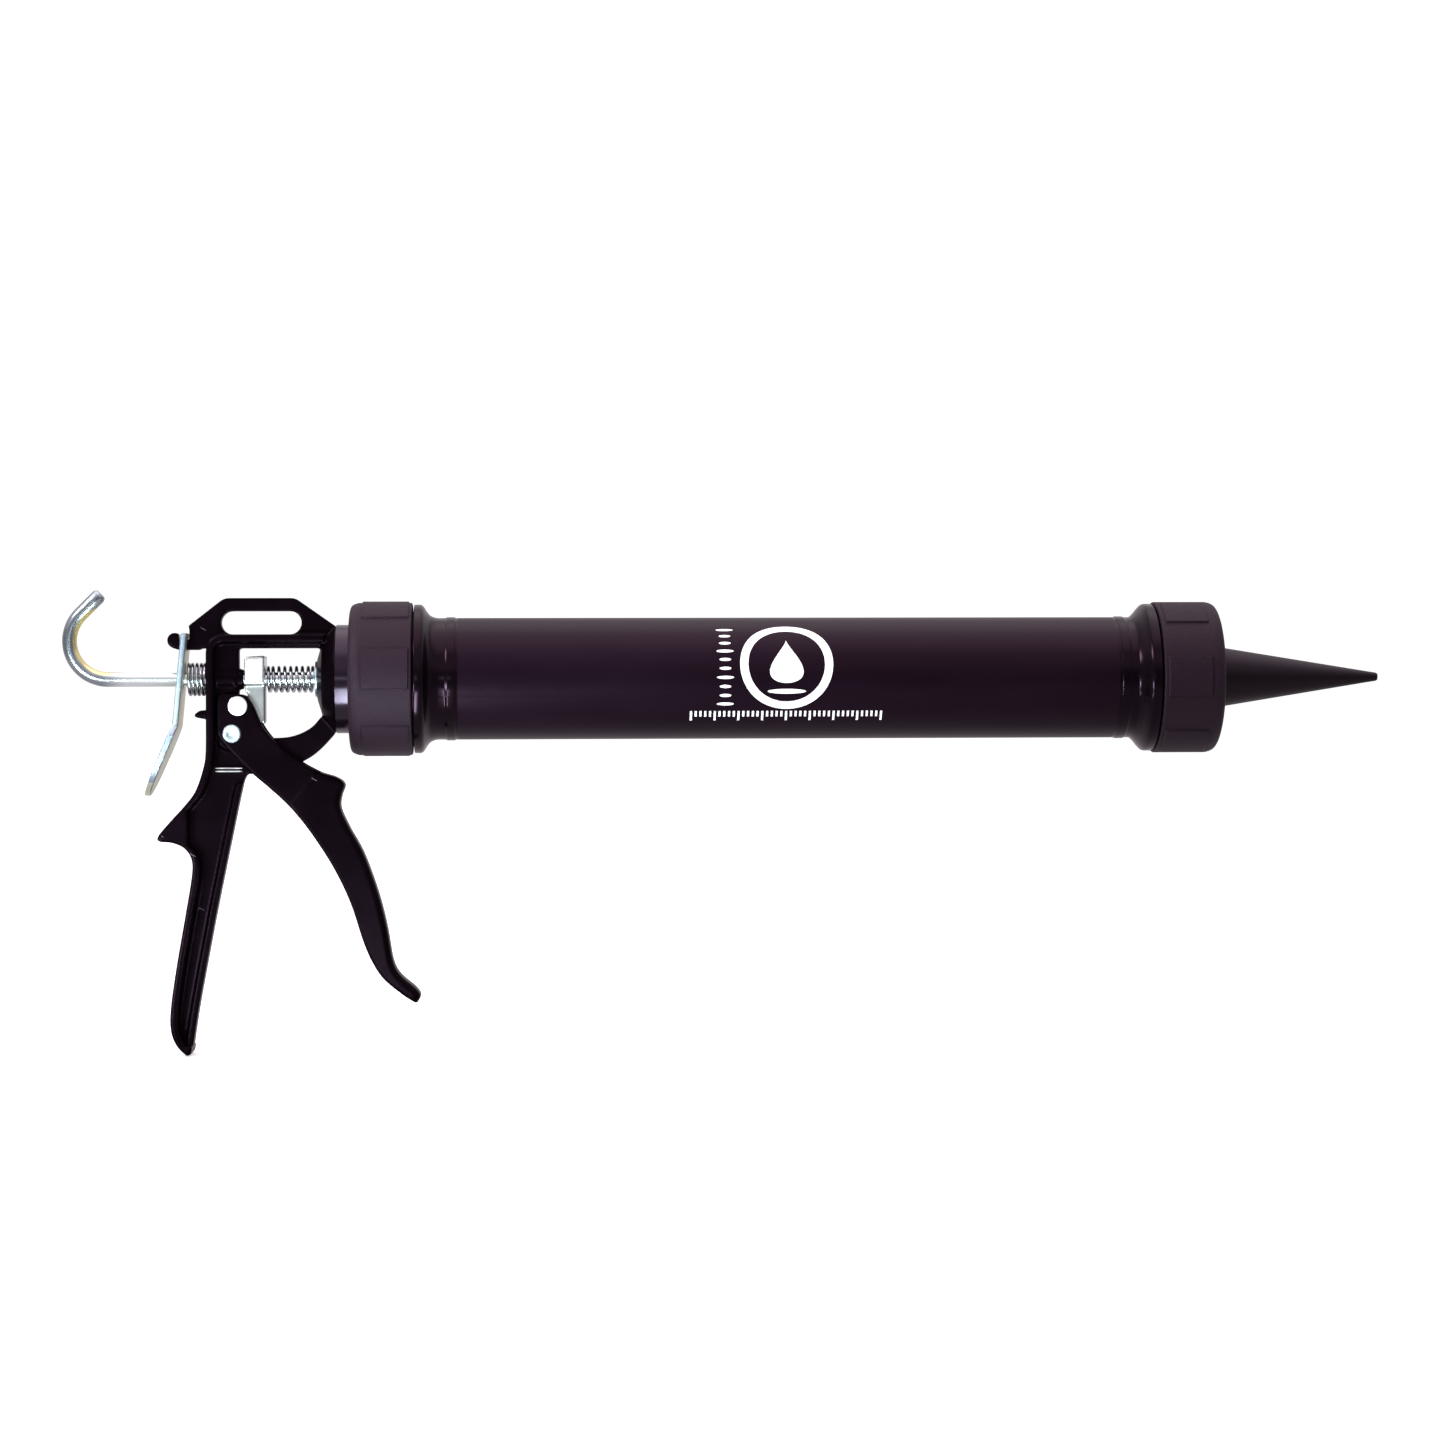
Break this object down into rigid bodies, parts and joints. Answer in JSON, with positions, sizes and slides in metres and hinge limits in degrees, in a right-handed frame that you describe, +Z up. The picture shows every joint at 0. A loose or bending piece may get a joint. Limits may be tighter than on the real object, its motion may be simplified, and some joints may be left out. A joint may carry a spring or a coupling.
{
  "type": "caulking gun",
  "caption": "Sausage-pack caulking gun with a cast pistol handle, ratcheting thrust rod, screw-on barrel and tapered nozzle.",
  "frame": {"origin": "centre of the nozzle's outlet", "axes": "+X out of the nozzle along the thrust rod, +Z up away from the grip, +Y across the gun to its left side"},
  "size_m": [0.5879, 0.0692, 0.2053],
  "materials": {
    "black_casting": "die-cast and enamelled satin black",
    "zinc_steel": "bright zinc plate with a pale yellow tint",
    "chrome_steel": "polished chrome plate",
    "spring_steel": "drawn spring wire",
    "guide_plastic": "moulded",
    "gloss_black_plastic": "glossy moulded",
    "textured_plastic": "spark-textured moulding",
    "barrel_plastic": "satin extruded tube with glossy moulded ends",
    "nozzle_plastic": "satin moulded",
    "seal_rubber": "moulded",
    "piston_plastic": "natural moulded"
  },
  "bodies": {
    "frame": {"handle_frame": "black_casting", "pivot_rivet": "zinc_steel", "pivot_washer": "zinc_steel", "spring_seat": "zinc_steel", "rod_bush": "guide_plastic", "end_plate": "gloss_black_plastic", "plate_screws": "zinc_steel", "main_spring": "spring_steel", "release_spring": "spring_steel"},
    "trigger": {"trigger": "black_casting", "roller_pin": "chrome_steel"},
    "roller": {"drive_roller": "chrome_steel"},
    "dog": {"drive_dog": "chrome_steel"},
    "catch": {"release_plate": "zinc_steel"},
    "plunger": {"thrust_rod": "zinc_steel", "piston_disc": "zinc_steel", "piston_cup": "piston_plastic", "piston_seal": "seal_rubber", "piston_washer": "zinc_steel", "piston_nut": "zinc_steel"},
    "nut": {"ring_nut": "textured_plastic"},
    "barrel": {"barrel": "barrel_plastic"},
    "nozzle": {"cone_nozzle": "nozzle_plastic", "nozzle_gasket": "seal_rubber"},
    "cap": {"front_cap": "textured_plastic"}
  },
  "joints": [
    {"name": "trigger_squeeze", "type": "hinge", "parent": "frame", "child": "trigger", "pos_m": [-0.513, 0, -0.0241], "axis": [0, 1, 0], "range_deg": [0, 30], "stiffness_Nm_per_rad": 1.5, "springref_deg": -20.05},
    {"name": "roller_spin", "type": "hinge", "parent": "trigger", "child": "roller", "pos_m": [-0.5104, 0, -0.0119], "axis": [0, 1, 0], "continuous": true},
    {"name": "dog_slide", "type": "slide", "parent": "frame", "child": "dog", "axis": [1, 0, 0], "range_m": [0, 0.0065], "deforming": ["main_spring"]},
    {"name": "catch_tilt", "type": "hinge", "parent": "frame", "child": "catch", "pos_m": [-0.5341, 0, 0.0153], "axis": [0, 1, 0], "range_deg": [-8, 0], "stiffness_Nm_per_rad": 1.5, "springref_deg": 14.32, "deforming": ["release_spring"]},
    {"name": "rod_slide", "type": "slide", "parent": "frame", "child": "plunger", "axis": [1, 0, 0], "range_m": [-0.315, 0.026]},
    {"name": "ring_nut_turn", "type": "hinge", "parent": "frame", "child": "nut", "pos_m": [-0.4472, 0, 0], "axis": [1, 0, 0], "range_deg": [-720, 0]},
    {"name": "barrel_slide", "type": "slide", "parent": "frame", "child": "barrel", "axis": [1, 0, 0], "range_m": [0, 0.0121]},
    {"name": "nozzle_slide", "type": "slide", "parent": "barrel", "child": "nozzle", "axis": [1, 0, 0], "range_m": [0, 0.0121]},
    {"name": "cap_turn", "type": "hinge", "parent": "nozzle", "child": "cap", "pos_m": [-0.0892, 0, 0], "axis": [1, 0, 0], "range_deg": [0, 720]}
  ],
  "couplings": [
    {"joint": "dog_slide", "follows": "trigger_squeeze", "m_per_rad": 0.0122},
    {"joint": "barrel_slide", "follows": "ring_nut_turn", "m_per_rad": -0.00095493},
    {"joint": "nozzle_slide", "follows": "cap_turn", "m_per_rad": 0.00095493}
  ]
}
